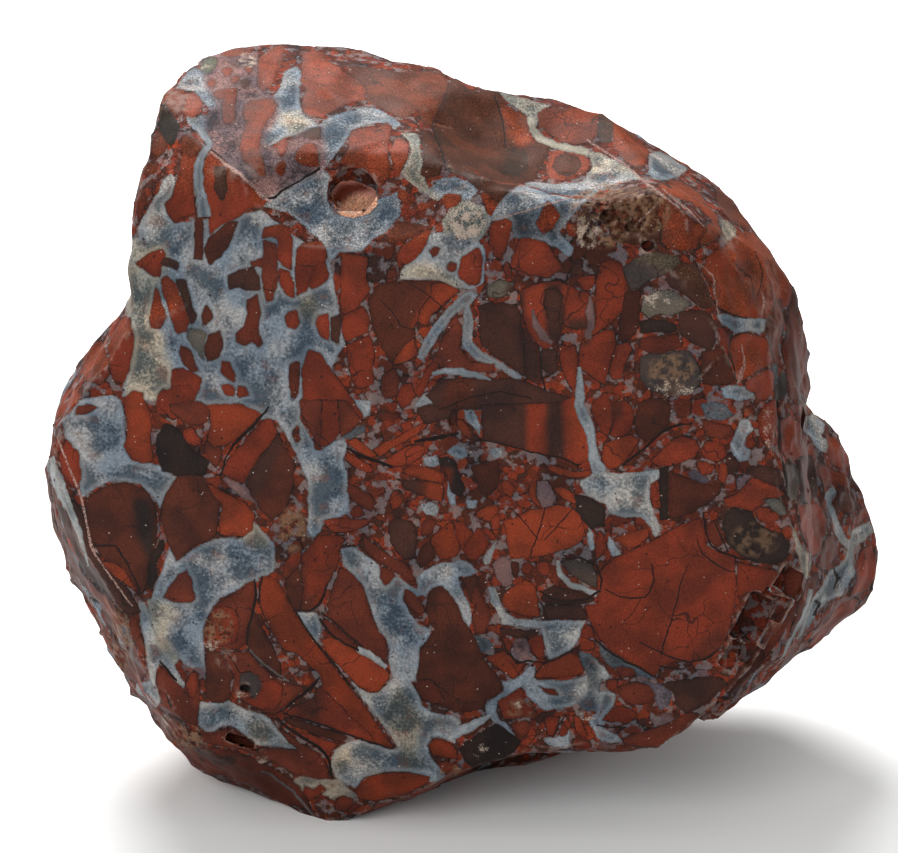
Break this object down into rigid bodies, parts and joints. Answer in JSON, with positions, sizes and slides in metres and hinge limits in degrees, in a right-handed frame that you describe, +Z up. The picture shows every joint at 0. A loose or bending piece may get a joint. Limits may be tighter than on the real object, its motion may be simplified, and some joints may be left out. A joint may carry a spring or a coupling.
{
  "type": "brecciated jasper stone",
  "caption": "Broken hand specimen of red jasper breccia healed with blue-grey chalcedony, with one broad broken face, standing on a small flat spot.",
  "frame": {"origin": "on the small flat spot that the stone stands on, under the middle of the stone", "axes": "+X to the right across the broad broken face, the stone's longest direction; -Y out of that face; +Z up"},
  "size_m": [0.112, 0.0671, 0.0961],
  "materials": {
    "jasper": "freshly broken stone, satin, with dull pitted patches"
  },
  "bodies": {
    "root": {"brecciated_jasper": "jasper"}
  },
  "joints": []
}
